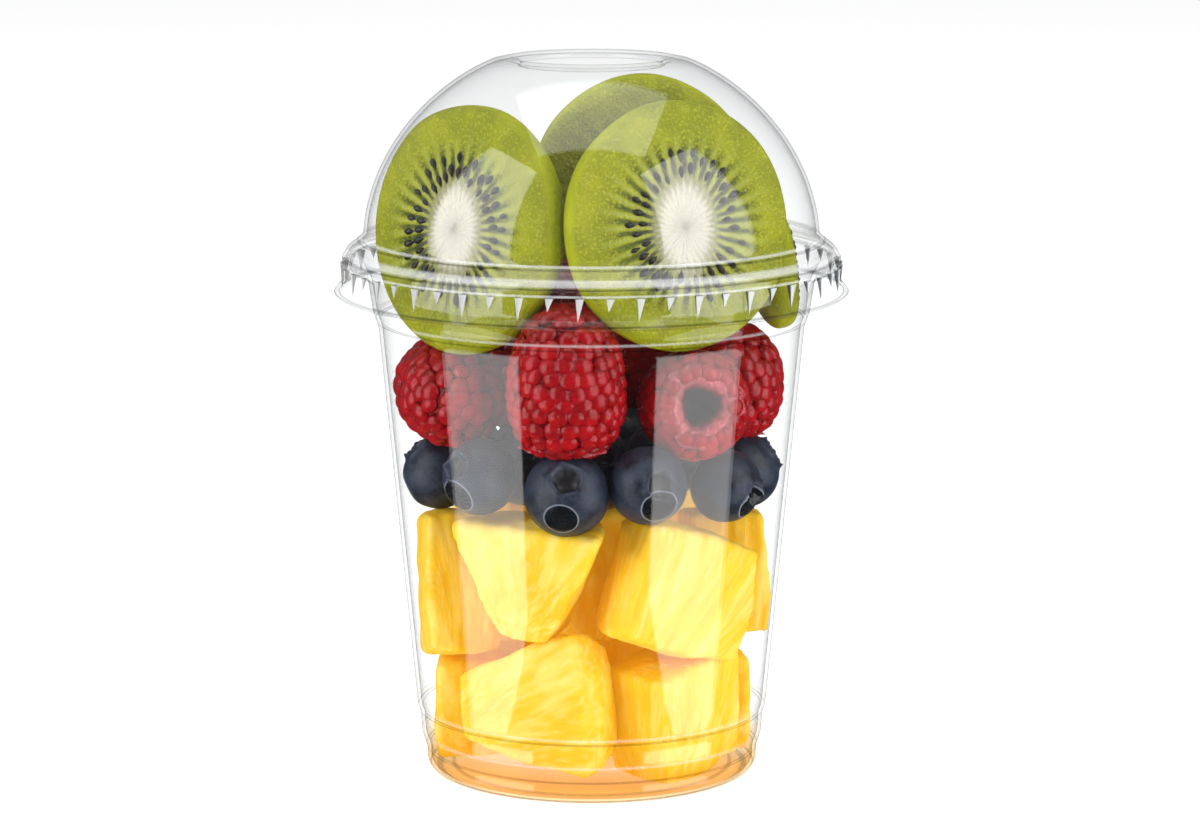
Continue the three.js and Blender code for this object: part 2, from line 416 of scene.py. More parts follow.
# ----------------------------------------------------------
# The lid: one thermoformed sheet with a skirt that snaps over the rim, a flange, a full dome and a
# low ridge with a rolled lip round the hole. It replaces the coarser solid.
# ----------------------------------------------------------

# The lid's painted lines: white painted highlights and grey painted shade at these heights.
lid_plastic = clear_plastic(
    "lid_plastic",
    [(109.2, 0.3), (106.4, 0.9), (104.1, 0.3)],
    [(108.6, 0.2), (105.3, 0.2), (98.4, 0.22)],
    painted_highlight_strength=0.24,
)
lid_wall, skirt_bend, lip_bend = 0.7, 0.45, 0.5
dome_spring, dome_top = 107.5, 146.0
dome_radius, hole_radius = 45.9, 14.0
lid_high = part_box("lid")[1]
skirt_radius = lid_high[0] / mm
skirt_height = 98.2
ridge_height = lid_high[2] / mm


def dome_at(height):
    """Outside radius of the dome."""
    rise = (height - dome_spring) / (dome_top - dome_spring)
    return hole_radius + (dome_radius - hole_radius) * (1 - rise * rise) ** (2 / 3)


dome_foot, dome_end = 109.6, 144.4
lid_outline = [
    (skirt_radius, skirt_height),
    (50.0, 100.4),
    (50.2, 105.0),
    (49.2, 106.8),
    (dome_at(dome_foot) + 1.0, dome_foot - 1.0),
]
dome_steps = 44
for step in range(dome_steps + 1):
    height = dome_foot + (dome_end - dome_foot) * sin(step / dome_steps * pi / 2)
    lid_outline.append((dome_at(height), height))
ridge = [(16.6, ridge_height), (hole_radius + 0.5, ridge_height - 0.5)]
ridge += [(hole_radius, ridge_height - 1.4)]
lid_outside = rounded(lid_outline[:6], skirt_bend) + lid_outline[6:-1]
lid_outside += rounded(lid_outline[-2:] + ridge, lip_bend)[1:]
lid_curve = lid_outside + offset(lid_outside, lid_wall)[::-1]
lid = turned("dome_lid", lid_curve, lid_plastic, sheet_columns, closed=True)
finish_piece(lid, "clear_plastic", "lid")

# The lid's snap ribs: wedges pressed into the skirt all round, tall and short by turns, each with a
# steep side and a slanting side, under a thin band. The steep faces are painted dark grey as shade and
# the front is painted partly opaque white as a highlight.

ribs = 54
rib_top, rib_tall, rib_short = 103.8, 4.6, 2.6
rib_radius, rib_width, rib_depth = 50.25, 1.6, 1.0
rib_material, start = new_material("rib_facets")
# Painted light: how strongly each rib face is painted dark as shade; the rest is mixed with opaque white
# as a painted highlight.
rib_shade_share = start.own("rib_shade_share", "Fac")
rib_clear = start.node("ShaderNodeBsdfTransparent", None, {"Color": (0.97, 0.97, 0.97)})
rib_painted_highlight = start.node("ShaderNodeBsdfDiffuse", None, {"Color": (0.95, 0.96, 0.97)})
rib_painted_shade = start.node("ShaderNodeBsdfTransparent", None, {"Color": (0.20, 0.21, 0.22)})
rib_front = start.node("ShaderNodeMixShader", None, {0: 0.42, 1: rib_clear, 2: rib_painted_highlight})
show(start.node("ShaderNodeMixShader", None, {0: rib_shade_share, 1: rib_front, 2: rib_painted_shade}))


class Tree:
    """A geometry node group with named inputs."""

    def __init__(self, name, inputs):
        self.group = bpy.data.node_groups.new(name, "GeometryNodeTree")
        self.group.interface.new_socket("Geometry", in_out="OUTPUT", socket_type="NodeSocketGeometry")
        self.names = {}
        for label, kind in inputs.items():
            kind = f"NodeSocket{kind}"
            socket = self.group.interface.new_socket(label, in_out="INPUT", socket_type=kind)
            self.names[label] = socket.identifier
        self.entry = self.group.nodes.new("NodeGroupInput")

    def add(self, kind, settings=None, sockets=None):
        """Adds a node: settings first, then values, outputs of other nodes or named inputs."""
        added = self.group.nodes.new(kind)
        for setting, value in (settings or {}).items():
            setattr(added, setting, value)
        for name, value in (sockets or {}).items():
            if isinstance(value, str) and value in self.names:
                self.group.links.new(self.entry.outputs[value], added.inputs[name])
            elif isinstance(value, bpy.types.NodeSocket):
                self.group.links.new(value, added.inputs[name])
            elif isinstance(value, bpy.types.Node):
                self.group.links.new(value.outputs[0], added.inputs[name])
            else:
                added.inputs[name].default_value = value
        return added

    def math(self, operation, first, second):
        return self.add("ShaderNodeMath", {"operation": operation}, {0: first, 1: second})

    def own(self, attribute):
        """The vector that each point of the base carries under this name."""
        settings = {"data_type": "FLOAT_VECTOR"}
        return self.add("GeometryNodeInputNamedAttribute", settings, {"Name": attribute})

    def copies(self, points, pattern, turn, size):
        """Copies of the object that a named input gives, one on each point."""
        source = self.add("GeometryNodeObjectInfo", None, {"Object": pattern})
        sockets = {"Points": points, "Instance": source.outputs["Geometry"]}
        sockets |= {"Rotation": turn, "Scale": size}
        return self.add("GeometryNodeInstanceOnPoints", None, sockets)

    def close(self, geometry, material):
        """Realizes the instances, gives them a material and ends the group."""
        real = self.add("GeometryNodeRealizeInstances", None, {0: geometry})
        coated = self.add("GeometryNodeSetMaterial", None, {"Geometry": real, "Material": material})
        exit_node = self.group.nodes.new("NodeGroupOutput")
        self.group.links.new(coated.outputs[0], exit_node.inputs[0])

    def run(self, name, base, values):
        """A plain mesh object made by this group on a base object, with its inputs set."""
        modifier = base.modifiers.new(name, "NODES")
        modifier.node_group = self.group
        for label, value in values.items():
            modifier[self.names[label]] = value
        graph = bpy.context.evaluated_depsgraph_get()
        mesh = bpy.data.meshes.new_from_object(base.evaluated_get(graph))
        base.modifiers.remove(modifier)
        bpy.data.objects.remove(base)
        made = bpy.data.objects.new(name, mesh)
        mesh.name = name
        scene.collection.objects.link(made)
        return made


def store(made, name, values, domain="POINT"):
    """Keeps a number or a vector for each point or face of a piece."""
    values = np.asarray(values, float)
    kind, field = ("FLOAT_VECTOR", "vector") if values.ndim > 1 else ("FLOAT", "value")
    kept = made.data.attributes.new(name, kind, domain)
    kept.data.foreach_set(field, values.ravel())


def points_object(name, places, normals, sizes):
    """A mesh of loose points that carry which way each copy faces and how large it is."""
    mesh = bpy.data.meshes.new(name)
    mesh.from_pydata([tuple(place) for place in places], [], [])
    made = bpy.data.objects.new(name, mesh)
    scene.collection.objects.link(made)
    store(made, "facing", normals)
    store(made, "size", sizes)
    return made


def wedge_object():
    """One rib: a wedge with a steep left side painted dark as shade and a front painted partly white as
    a highlight, that taper to a point.
    """
    points = [(0, 0, 0), (0.18, 1, 0), (1, 0.15, 0), (0.25, 0, -1), (0, -0.3, 0), (1, -0.3, 0)]
    faces = [(0, 1, 3), (1, 2, 3), (4, 0, 3), (2, 5, 3), (5, 4, 3), (4, 5, 2, 1, 0)]
    made = piece("rib_pattern", points, faces, rib_material, smooth=False)
    # How strongly each face is painted dark as shade, one number a face.
    store(made, "rib_shade_share", [1.0, 0.0, 0.6, 0.3, 0.0, 0.6], "FACE")
    return made


rib_tree = Tree(
    "skirt_ribs",
    {
        "Geometry": "Geometry",
        "Count": "Int",
        "Radius": "Float",
        "Top": "Float",
        "Width": "Float",
        "Depth": "Float",
        "Tall": "Float",
        "Short": "Float",
        "Rib": "Object",
    },
)
rib_ring = rib_tree.add("GeometryNodeMeshCircle", None, {"Vertices": "Count", "Radius": "Radius"})
rib_raised = rib_tree.add("ShaderNodeCombineXYZ", None, {"Z": "Top"})
rib_places = rib_tree.add(
    "GeometryNodeTransform", None, {"Geometry": rib_ring, "Translation": rib_raised}
)
rib_index = rib_tree.add("GeometryNodeInputIndex")
rib_turn = rib_tree.math("MULTIPLY", rib_index, tau / ribs)
rib_ahead = rib_tree.math("ADD", rib_turn, pi / 2)
rib_heading = rib_tree.add("ShaderNodeCombineXYZ", None, {"Z": rib_ahead})
rib_odd = rib_tree.math("MODULO", rib_index, 2.0)
rib_drop = rib_tree.add(
    "ShaderNodeMix", {"data_type": "FLOAT"}, {0: rib_odd, 2: "Tall", 3: "Short"}
)
rib_size = rib_tree.add(
    "ShaderNodeCombineXYZ", None, {"X": "Width", "Y": "Depth", "Z": rib_drop.outputs[0]}
)
rib_tree.close(rib_tree.copies(rib_places, "Rib", rib_heading, rib_size), rib_material)
rib_pattern = wedge_object()
rib_base = points_object("rib_base", [(0, 0, 0)], [(0, 0, 1)], [(1, 1, 1)])
skirt_ribs = rib_tree.run(
    "skirt_ribs",
    rib_base,
    {
        "Count": ribs,
        "Radius": rib_radius * mm,
        "Top": rib_top * mm,
        "Width": rib_width * mm,
        "Depth": rib_depth * mm,
        "Tall": rib_tall * mm,
        "Short": rib_short * mm,
        "Rib": rib_pattern,
    },
)
bpy.data.objects.remove(rib_pattern)
finish_piece(skirt_ribs, "clear_plastic")

# ----------------------------------------------------------
# Kiwi halves: peeled and cut across. A cream core, a ring of black seeds in darker green flesh with
# pale rays, grainy green flesh outside it, and a smooth bright green side.
# ----------------------------------------------------------


def solids_of(kind):
    """The names of the solids of one kind, in order."""
    return [name for name in sorted(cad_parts) if name.startswith(kind)]


def axis_of(node):
    """The two ends of a turned solid's axis, in metres: where the most triangles meet. The first
    end is the one whose triangles reach further."""
    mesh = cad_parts[node].data
    corners_at = {}
    for polygon in mesh.polygons:
        ring = [mesh.vertices[index].co for index in polygon.vertices]
        for corner in ring:
            key = tuple(round(value, 6) for value in corner)
            reach = max((other - corner).length for other in ring)
            corners_at.setdefault(key, []).append(reach)
    ends = sorted(corners_at, key=lambda key: -len(corners_at[key]))[:2]
    ends.sort(key=lambda key: -max(corners_at[key]))
    return Vector(ends[0]), Vector(ends[1])


def own_frame(origin, up):
    """A turn and a shift from a piece's own axes, +Z along up and X level, to the cup's."""
    side = up.cross(Vector((0, 0, 1)))
    side = side.normalized() if side.length > 1e-4 else Vector((1, 0, 0))
    front = up.cross(side)
    turn = Matrix((side, front, up)).transposed().to_4x4()
    return Matrix.Translation(origin) @ turn


def reach_from_axis(node, origin, up):
    """How far a node's solid reaches square to its axis, and below its origin."""
    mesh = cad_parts[node].data
    away = [vertex.co - origin for vertex in mesh.vertices]
    radius = max((point - up * point.dot(up)).length for point in away)
    low = min(point.dot(up) for point in away)
    high = max(point.dot(up) for point in away)
    return radius, low, high


def kiwi_material():
    material, start = new_material("kiwi_flesh")
    place = start.own("own_place")
    x, y, depth = place.parts()
    reach = (x * x + y * y) ** 0.5
    turn = start.math("ARCTAN2", y, x)
    shift = start.node("ShaderNodeCombineXYZ", None, {2: start.own("kiwi_id", "Fac")})
    moved = start.node("ShaderNodeVectorMath", {"operation": "ADD"}, {0: place, 1: shift})
    wave = start.math("COSINE", turn * kiwi_rays + start.noise(moved, 4.0, 2.0) * 2.6)
    rays = wave.step(0.2, 1.0)
    grain = start.noise(place, 38.0, 2.0, 0.6)
    speck = start.noise(place, 70.0, 2.0, 0.6)
    blotch = start.noise(place, 3.2, 2.0)
    streaks = (wave * 0.07 + (grain - 0.5) * 0.35) * reach.step(0.05, 0.2)
    core_reach = ((x / 0.235) ** 2 + (y / 0.335) ** 2) ** 0.5 + streaks
    core = core_reach.step(1.22, 0.74)
    core_rim = core_reach.step(1.6, 1.0)
    seed_zone = core_reach.step(1.05, 1.45) * (reach + (grain - 0.5) * 0.3).step(0.74, 0.54)
    ray_zone = reach.step(0.86, 0.42)
    on_face = depth.step(-0.1, -0.03)
    flesh = blotch.step(0.35, 0.7).paint((0.28, 0.305, 0.001), (0.40, 0.415, 0.002))
    flesh = (grain.step(0.5, 0.68) * 0.6).paint(flesh, (0.58, 0.60, 0.04))
    flesh = (speck.step(0.42, 0.3) * 0.55).paint(flesh, (0.15, 0.18, 0.001))
    flesh = (seed_zone * wave.step(0.3, -0.9) * 0.85).paint(flesh, (0.060, 0.085, 0.008))
    flesh = (rays * ray_zone * 0.62).paint(flesh, (0.48, 0.52, 0.13))
    flesh = (core_rim * 0.85).paint(flesh, (0.34, 0.33, 0.20))
    shadow = core_reach.step(1.1, 1.3) * core_reach.step(1.95, 1.5) * wave.step(0.2, -0.7)
    flesh = (shadow * 0.7).paint(flesh, (0.06, 0.055, 0.055))
    flesh = core.paint(flesh, (0.74, 0.70, 0.58))
    side = blotch.step(0.3, 0.75).paint((0.40, 0.44, 0.001), (0.52, 0.55, 0.004))
    side = (start.noise(place, 12.0, 3.0).step(0.55, 0.75) * 0.4).paint(side, (0.29, 0.33, 0.001))
    colour = on_face.paint(side, flesh)
    bumps = grain * 0.8 + speck * 0.3 + wave * ray_zone * 0.12
    normal = start.bump(bumps, 0.9, 0.9)
    surface(
        start,
        {
            "Base Color": colour,
            "Roughness": 0.26 + grain * 0.16,
            "Subsurface Weight": 0.25,
            "Subsurface Radius": (1.0, 1.0, 0.25),
            "Subsurface Scale": 1.2 * mm,
            "Specular IOR Level": 0.4,
            "Normal": normal,
        },
    )
    return material


kiwi_rays = 34
kiwi_flesh = kiwi_material()
kiwi_columns, dome_rows, shoulder_rows, face_rows = 144, 22, 12, 44
kiwi_shoulder = 3.4 * mm
kiwi_flat = 0.97  # width over height of the cut face
face_rise = 0.4 * mm  # how far the cut face swells out in its middle
seed_frames = []
for number, node in enumerate(solids_of("kiwi")):
    face_end, back_end = axis_of(node)
    up = (face_end - back_end).normalized()
    middle = face_end - up * face_rise
    radius, low, high = reach_from_axis(node, middle, up)
    depth = -low
    place = own_frame(middle, up)
    profile = []
    for step in range(1, dome_rows):
        angle = step / dome_rows * pi / 2
        profile.append((radius * sin(angle), -kiwi_shoulder - (depth - kiwi_shoulder) * cos(angle)))
    for step in range(shoulder_rows):
        angle = step / (shoulder_rows - 1) * pi / 2
        profile.append(
            (
                radius - kiwi_shoulder * (1 - cos(angle) ** 0.8),
                -kiwi_shoulder + kiwi_shoulder * sin(angle) ** 0.8,
            )
        )
    for step in range(1, face_rows):
        share = 1 - step / face_rows
        profile.append(((radius - kiwi_shoulder) * share, face_rise * (1 - share)))
    rings = [[(0, 0, -depth)]]
    rings += [ring_at(r, z, kiwi_columns, kiwi_flat) for r, z in profile]
    rings.append([(0, 0, face_rise)])
    own_places = []
    shaped = []
    for ring in rings:
        new_ring = []
        for point in ring:
            local = Vector(point)
            unit = local / radius
            own_places.append((unit.x, unit.y, unit.z))
            around = Vector((unit.x, unit.y, 0))
            swell = noise.noise(around * 1.6 + Vector((0, 0, number * 7.0))) * 0.018
            grain = noise.noise(unit * 26 + Vector((number * 3.0, 0, 0))) * 0.05 * mm
            reach = around.length
            groove = 0.0
            if unit.z > -0.05 and reach > 0.2:
                ray = around / reach * 9.0 + Vector((0, 0, number * 5.0 + reach))
                fade = min(1, (reach - 0.2) * 6) * max(0, 1 - reach) ** 0.5
                groove = noise.noise(ray) * 0.28 * mm * fade
            if unit.z > -0.05:
                grain += noise.noise(unit * 44) * 0.07 * mm * min(1, reach * 2)
            local.x *= 1 + swell - 0.012
            local.y *= 1 + swell - 0.012
            local.z += groove + grain - 0.1 * mm
            new_ring.append(place @ local)
        shaped.append(new_ring)
    half = shell(f"{node}_half", shaped, kiwi_flesh)
    store(half, "own_place", own_places)
    store(half, "kiwi_id", [number * 3.7] * len(half.data.vertices))
    finish_piece(half, "kiwi", node)
    seed_frames.append((place, radius, number))

# Kiwi seeds: small black drops set in staggered rings round the core of each cut face, pointed ends
# towards the core.

seed_black, start = new_material("kiwi_seed")
seed_tone = start.noise(start.object_place(), 900.0, 1.0)
seed_colour = seed_tone.step(0.4, 0.8).paint((0.006, 0.005, 0.006), (0.03, 0.022, 0.02))
surface(start, {"Base Color": seed_colour, "Roughness": 0.3})


def drop_object():
    """One seed: a drop with a round end and a pointed end, lying along X."""
    rings = [[(-0.5, 0, 0)]]
    for step in range(1, 7):
        along = step / 7
        wide = 0.5 * sin(pi * along**1.35) ** 0.8
        rings.append(
            [(-0.5 + along, wide * cos(tau * i / 8), wide * sin(tau * i / 8)) for i in range(8)]
        )
    rings.append([(0.5, 0, 0)])
    return shell("seed_pattern", rings, seed_black)


seed_tree = Tree(
    "kiwi_seeds",
    {
        "Geometry": "Geometry",
        "Seed": "Object",
        "Length": "Float",
        "Variation": "Float",
        "Draw": "Int",
    },
)
seed_heading = seed_tree.add("ShaderNodeSeparateXYZ", None, {0: seed_tree.own("facing")})
seed_turn = seed_tree.math("ARCTAN2", seed_heading.outputs[1], seed_heading.outputs[0])
seed_rotation = seed_tree.add("ShaderNodeCombineXYZ", None, {"Z": seed_turn})
seed_random = seed_tree.add(
    "FunctionNodeRandomValue", {"data_type": "FLOAT"}, {"Min": -1.0, "Max": 1.0, "Seed": "Draw"}
)
seed_spread = seed_tree.math("MULTIPLY", seed_random.outputs[1], "Variation")
seed_length = seed_tree.math("MULTIPLY", seed_tree.math("ADD", seed_spread, 1.0), "Length")
seed_width = seed_tree.math("MULTIPLY", seed_length, 0.46)
seed_scale = seed_tree.add(
    "ShaderNodeCombineXYZ", None, {"X": seed_length, "Y": seed_width, "Z": seed_width}
)
seed_tree.close(seed_tree.copies("Geometry", "Seed", seed_rotation, seed_scale), seed_black)
seed_pattern = drop_object()
rng = np.random.default_rng(11)
long_seed, seed_variation, seed_rise = 2.7 * mm, 0.16, 0.12 * mm
seed_meshes = []
for place, radius, number in seed_frames:
    places = []
    headings = []
    for index in range(kiwi_rays):
        rows = [0.40, 0.515] if index % 2 else [0.455]
        if rng.random() < 0.2:
            rows = [0.43, 0.55]
        for share in rows:
            if rng.random() < 0.06:
                continue
            angle = tau * (index + 0.5 + rng.uniform(-0.16, 0.16)) / kiwi_rays
            reach = radius * (share + rng.uniform(-0.02, 0.02))
            spot = (reach * 0.93 * cos(angle), reach * 1.04 * sin(angle), seed_rise)
            places.append(spot)
            headings.append((cos(angle), sin(angle), 0))
    base = points_object("seed_base", places, headings, headings)
    seeds = seed_tree.run(
        f"kiwi_seeds_{number + 1}",
        base,
        {"Seed": seed_pattern, "Length": long_seed, "Variation": seed_variation, "Draw": number},
    )
    seeds.data.transform(place)
    seed_meshes.append(seeds)
bpy.data.objects.remove(seed_pattern)


def joined(name, objects):
    """One object from several, all at the origin."""
    for other in bpy.context.selected_objects:
        other.select_set(False)
    for member in objects:
        member.select_set(True)
    bpy.context.view_layer.objects.active = objects[0]
    bpy.ops.object.join()
    objects[0].name = name
    objects[0].data.name = name
    return objects[0]


finish_piece(joined("kiwi_seeds", seed_meshes), "kiwi")

# ----------------------------------------------------------
# Raspberries: a hollow cone of drupelets round the hole that the stem leaves, deep red and moist
# outside, paler and velvety inside, with a fine hair on about three drupelets in ten.
# ----------------------------------------------------------


def raspberry_material(name, deep, bright, pale, crown_pale, roughness):
    material, start = new_material(name)
    place = start.object_place()
    patch = start.noise(place, 260.0, 2.0)
    fuzz = start.noise(place, 2600.0, 2.0)
    crown = start.own("crown", "Fac")
    colour = patch.step(0.3, 0.7).paint(deep, bright)
    # Painted shade: the feet of the drupelets and the core between them are painted towards the deep
    # red, darkest down in the gaps.
    colour = ((1 - crown) * 0.8).paint(colour, deep)
    tip = crown.step(0.0, 1.0)
    colour = (tip * (0.3 + fuzz.step(0.4, 0.7)) * crown_pale).paint(colour, pale)
    # Painted shade: the bottom of the hole is painted near black.
    colour = crown.step(-0.1, -0.9).paint(colour, (0.040, 0.001, 0.002))
    normal = start.bump(fuzz, 0.15, 0.1)
    surface(
        start,
        {
            "Base Color": colour,
            "Roughness": roughness + fuzz * 0.1,
            "Subsurface Weight": 0.3,
            "Subsurface Radius": (1.0, 0.25, 0.2),
            "Subsurface Scale": 1.6 * mm,
            "Specular IOR Level": 0.1,
            "Coat Weight": 0.5,
            "Coat Roughness": 0.035,
            "Normal": normal,
        },
    )
    return material


raspberry_skin = raspberry_material(
    "raspberry_skin", (0.23, 0.0, 0.001), (0.45, 0.0005, 0.004), (0.64, 0.03, 0.05), 0.2, 0.15
)
# The core shows in the gaps between the drupelets; its deep and bright reds are painted shade there, and
# its pale velvet lines the hole.
raspberry_core = raspberry_material(
    "raspberry_core", (0.16, 0.0, 0.001), (0.26, 0.0005, 0.002), (0.80, 0.16, 0.19), 0.8, 0.6
)
hair_material, start = new_material("raspberry_hair")
hair_tone = start.noise(start.object_place(), 400.0, 1.0)
hair_colour = hair_tone.paint((0.42, 0.13, 0.06), (0.75, 0.45, 0.22))
surface(start, {"Base Color": hair_colour, "Roughness": 0.5})


def drupelet_object():
    """One drupelet: a tall dome a little narrower at its foot, standing on the origin along +Z."""
    outline = ((-0.35, 0.8), (0.0, 0.98), (0.25, 1.0), (0.5, 0.88), (0.68, 0.62), (0.79, 0.32))
    rings = [ring_at(wide, along, 10) for along, wide in outline]
    rings.append([(0, 0, 0.83)])
    rings.insert(0, [(0, 0, -0.4)])
    return shell("drupelet_pattern", rings, raspberry_skin)


def hair_object():
    """One hair: a thin spike with a bend, standing on the origin along +Z, one unit tall."""
    sides = 3
    rings = []
    for along, wide, shift in ((0.0, 0.026, 0.0), (0.45, 0.022, 0.06), (0.8, 0.014, 0.2)):
        rings.append(
            [
                (shift + wide * cos(tau * i / sides), wide * sin(tau * i / sides), along)
                for i in range(sides)
            ]
        )
    rings.append([(0.32, 0, 1.0)])
    rings.insert(0, [(0, 0, -0.05)])
    return shell("hair_pattern", rings, hair_material)


facing_tree = Tree(
    "set_on_skin",
    {
        "Geometry": "Geometry",
        "Pattern": "Object",
        "Turn": "Float",
        "Draw": "Int",
        "Coat": "Material",
    },
)
skin_upright = facing_tree.add(
    "FunctionNodeAlignRotationToVector", {"axis": "Z"}, {"Vector": facing_tree.own("facing")}
)
skin_random = facing_tree.add(
    "FunctionNodeRandomValue", {"data_type": "FLOAT"}, {"Min": 0.0, "Max": "Turn", "Seed": "Draw"}
)
skin_spin = facing_tree.add("ShaderNodeCombineXYZ", None, {"Z": skin_random.outputs[1]})
skin_copies = facing_tree.copies("Geometry", "Pattern", skin_upright, facing_tree.own("size"))
skin_turned = facing_tree.add(
    "GeometryNodeRotateInstances", None, {"Instances": skin_copies, "Rotation": skin_spin}
)
facing_tree.close(skin_turned, "Coat")


def raspberry_reach(along, radius):
    """Radius of the berry's skin at a share of its length from the open end."""
    waist = 0.38
    share = 0.8 * (waist - along) / waist if along < waist else (along - waist) / (1 - waist)
    return radius * sqrt(max(0, 1 - share**2.3))


drupelet_pattern = drupelet_object()
hair_pattern = hair_object()
core_columns, core_rows = 40, 26
core_drop = 1.1 * mm  # how far the hollow core lies under the skin
row_pitch, drupelet_size, open_end_size = 2.6 * mm, 1.85 * mm, 1.65 * mm
lip_pitch, lip_size = 2.5 * mm, 1.55 * mm
seated = 0.85  # share of a drupelet's size by which its foot lies under the skin
all_hairs = []
for number, node in enumerate(solids_of("raspberry")):
    tip, hollow_end = axis_of(node)
    up = (tip - hollow_end).normalized()
    middle = (tip + hollow_end) / 2
    radius, low, high = reach_from_axis(node, middle, up)
    length = high - low
    foot = middle + up * low
    place = own_frame(foot, up)
    rng = np.random.default_rng(40 + number)

    def skin_point(along, angle, shrink):
        reach = raspberry_reach(along, radius - shrink)
        return Vector((reach * cos(angle), reach * sin(angle), along * length))

    rings = []
    for step in range(core_rows):
        along = 0.03 + 0.94 * step / (core_rows - 1)
        rings.append([skin_point(along, tau * i / core_columns, core_drop) for i in range(core_columns)])
    rings.append([Vector((0, 0, length - core_drop))])
    hollow = []
    for share, along in ((0.72, 0.0), (0.54, -0.03), (0.38, 0.0), (0.31, 0.1), (0.26, 0.36)):
        ring = []
        for i in range(core_columns):
            angle = tau * i / core_columns
            folds = 0.06 * sin(13 * tau * i / core_columns + 9 * along)
            folds += 0.1 * sin(3 * tau * i / core_columns + number)
            reach = radius * share * (1 + folds)
            ring.append(Vector((reach * cos(angle), reach * sin(angle), along * length)))
        hollow.append(ring)
    hollow.append([Vector((0, 0, 0.4 * length))])
    rings = hollow[::-1] + rings
    body = shell(f"{node}_body", [[place @ point for point in ring] for ring in rings], raspberry_core)

    places, normals, sizes, hair_places, hair_normals, hair_sizes = [], [], [], [], [], []
    rows = round(length / row_pitch) + 1
    shares = [(row + 0.3) / (rows - 0.1) for row in range(rows)] + [0.982, 0.999]
    for row, along in enumerate(shares):
        size = drupelet_size if row else open_end_size
        reach = raspberry_reach(along, radius - size * seated)
        count = max(1, round(tau * reach / (2 * size * 0.88)))
        for index in range(count):
            angle = tau * (index + 0.5 * (row % 2) + rng.uniform(-0.2, 0.2)) / count
            up_share = min(0.999, along + rng.uniform(-0.022, 0.022) * (row < rows))
            point = skin_point(up_share, angle, size * seated)
            ahead = skin_point(min(up_share + 0.03, 0.9995), angle, size * seated)
            behind = skin_point(max(up_share - 0.03, 0.0), angle, size * seated)
            slope = (ahead - behind).normalized()
            around = Vector((-sin(angle), cos(angle), 0))
            outward = around.cross(slope).normalized()
            if outward.dot(Vector((cos(angle), sin(angle), 0.3))) < 0:
                outward = -outward
            outward = (outward + Vector((0, 0, 0.12 - 0.3 * (row == 0)))).normalized()
            wide = size * rng.uniform(1.08, 1.32)
            tall = size * rng.uniform(1.0, 1.18)
            places.append(place @ point)
            normals.append(place.to_3x3() @ outward)
            sizes.append((wide, wide * rng.uniform(0.85, 1.05), tall))
            if rng.random() < 0.3:
                hair_places.append(place @ (point + outward * size * seated))
                lean = Vector(rng.uniform(-0.5, 0.5, 3))
                hair_normals.append(place.to_3x3() @ (outward + lean).normalized())
                tall_hair = rng.uniform(0.7, 1.4) * mm
                hair_sizes.append((tall_hair, tall_hair, tall_hair))
    lip_count = round(tau * 0.66 * radius / lip_pitch)
    for index in range(lip_count):
        angle = tau * (index + rng.uniform(-0.15, 0.15)) / lip_count
        radial = Vector((cos(angle), sin(angle), 0))
        point = radial * radius * 0.62 + Vector((0, 0, 0.6 * mm))
        places.append(place @ point)
        normals.append(place.to_3x3() @ (radial * 0.3 - Vector((0, 0, 1))).normalized())
        wide = lip_size * rng.uniform(0.95, 1.15)
        sizes.append((wide, wide, 1.5 * mm * rng.uniform(0.9, 1.1)))
    base = points_object("drupelet_base", places, normals, sizes)
    values = {"Pattern": drupelet_pattern, "Turn": tau, "Draw": number, "Coat": raspberry_skin}
    drupelets = facing_tree.run(f"{node}_drupelets", base, values)
    heights = [vertex.co.z for vertex in drupelet_pattern.data.vertices]
    store(drupelets, "crown", np.tile(np.clip(heights, 0, 1), len(places)))
    # From the bottom of the hole to its rim: -1 is painted near black as shade deep in the hole and 1
    # the pale velvet.
    shade_and_velvet = (-1.0, -1.0, -0.8, 0.3, 1.0, 0.8)
    fades = [shade for shade, ring in zip(shade_and_velvet, hollow[::-1]) for _ in ring]
    fades += [0.0] * (len(body.data.vertices) - len(fades))
    store(body, "crown", fades)
    berry = joined(f"{node}_berry", [drupelets, body])
    berry.data.shade_smooth()
    finish_piece(berry, "raspberry", node)
    base = points_object("hair_base", hair_places, hair_normals, hair_sizes)
    values = {"Pattern": hair_pattern, "Turn": tau, "Draw": number, "Coat": hair_material}
    all_hairs.append(facing_tree.run(f"{node}_hairs", base, values))
bpy.data.objects.remove(drupelet_pattern)
bpy.data.objects.remove(hair_pattern)
finish_piece(joined("raspberry_hairs", all_hairs), "raspberry")

# ----------------------------------------------------------
# Blueberries: dark blue skin with a patchy pale bloom, a crown of five short lobes round a dimple,
# and a flat dark spot, free of bloom, where a berry lies against the wall.
# ----------------------------------------------------------

berry_skin, start = new_material("blueberry_skin")
berry_place = start.own("own_place")
contact, crown_mask, berry_number = start.own("marks").parts()
shift = start.node("ShaderNodeCombineXYZ", None, {0: berry_number, 1: berry_number * 1.7})
moved = start.node("ShaderNodeVectorMath", {"operation": "ADD"}, {0: berry_place, 1: shift})
bloom_patch = start.noise(moved, 1.9, 3.0, 0.6)
bloom_fine = start.noise(moved, 14.0, 3.0, 0.65)
bloom_specks = start.noise(moved, 60.0, 1.0)
bloom = (bloom_patch * 0.7 + bloom_fine * 0.35).step(0.36, 0.62)
berry_colour = bloom.paint((0.003, 0.006, 0.014), (0.030, 0.042, 0.072))
berry_colour = (bloom_specks.step(0.62, 0.78) * 0.3).paint(berry_colour, (0.08, 0.10, 0.16))
berry_colour = (crown_mask.step(0.0, 0.15) * crown_mask.step(0.4, 0.2) * 0.6).paint(
    berry_colour, (0.09, 0.10, 0.14)
)
berry_colour = crown_mask.step(0.15, 0.45).paint(berry_colour, (0.012, 0.010, 0.014))
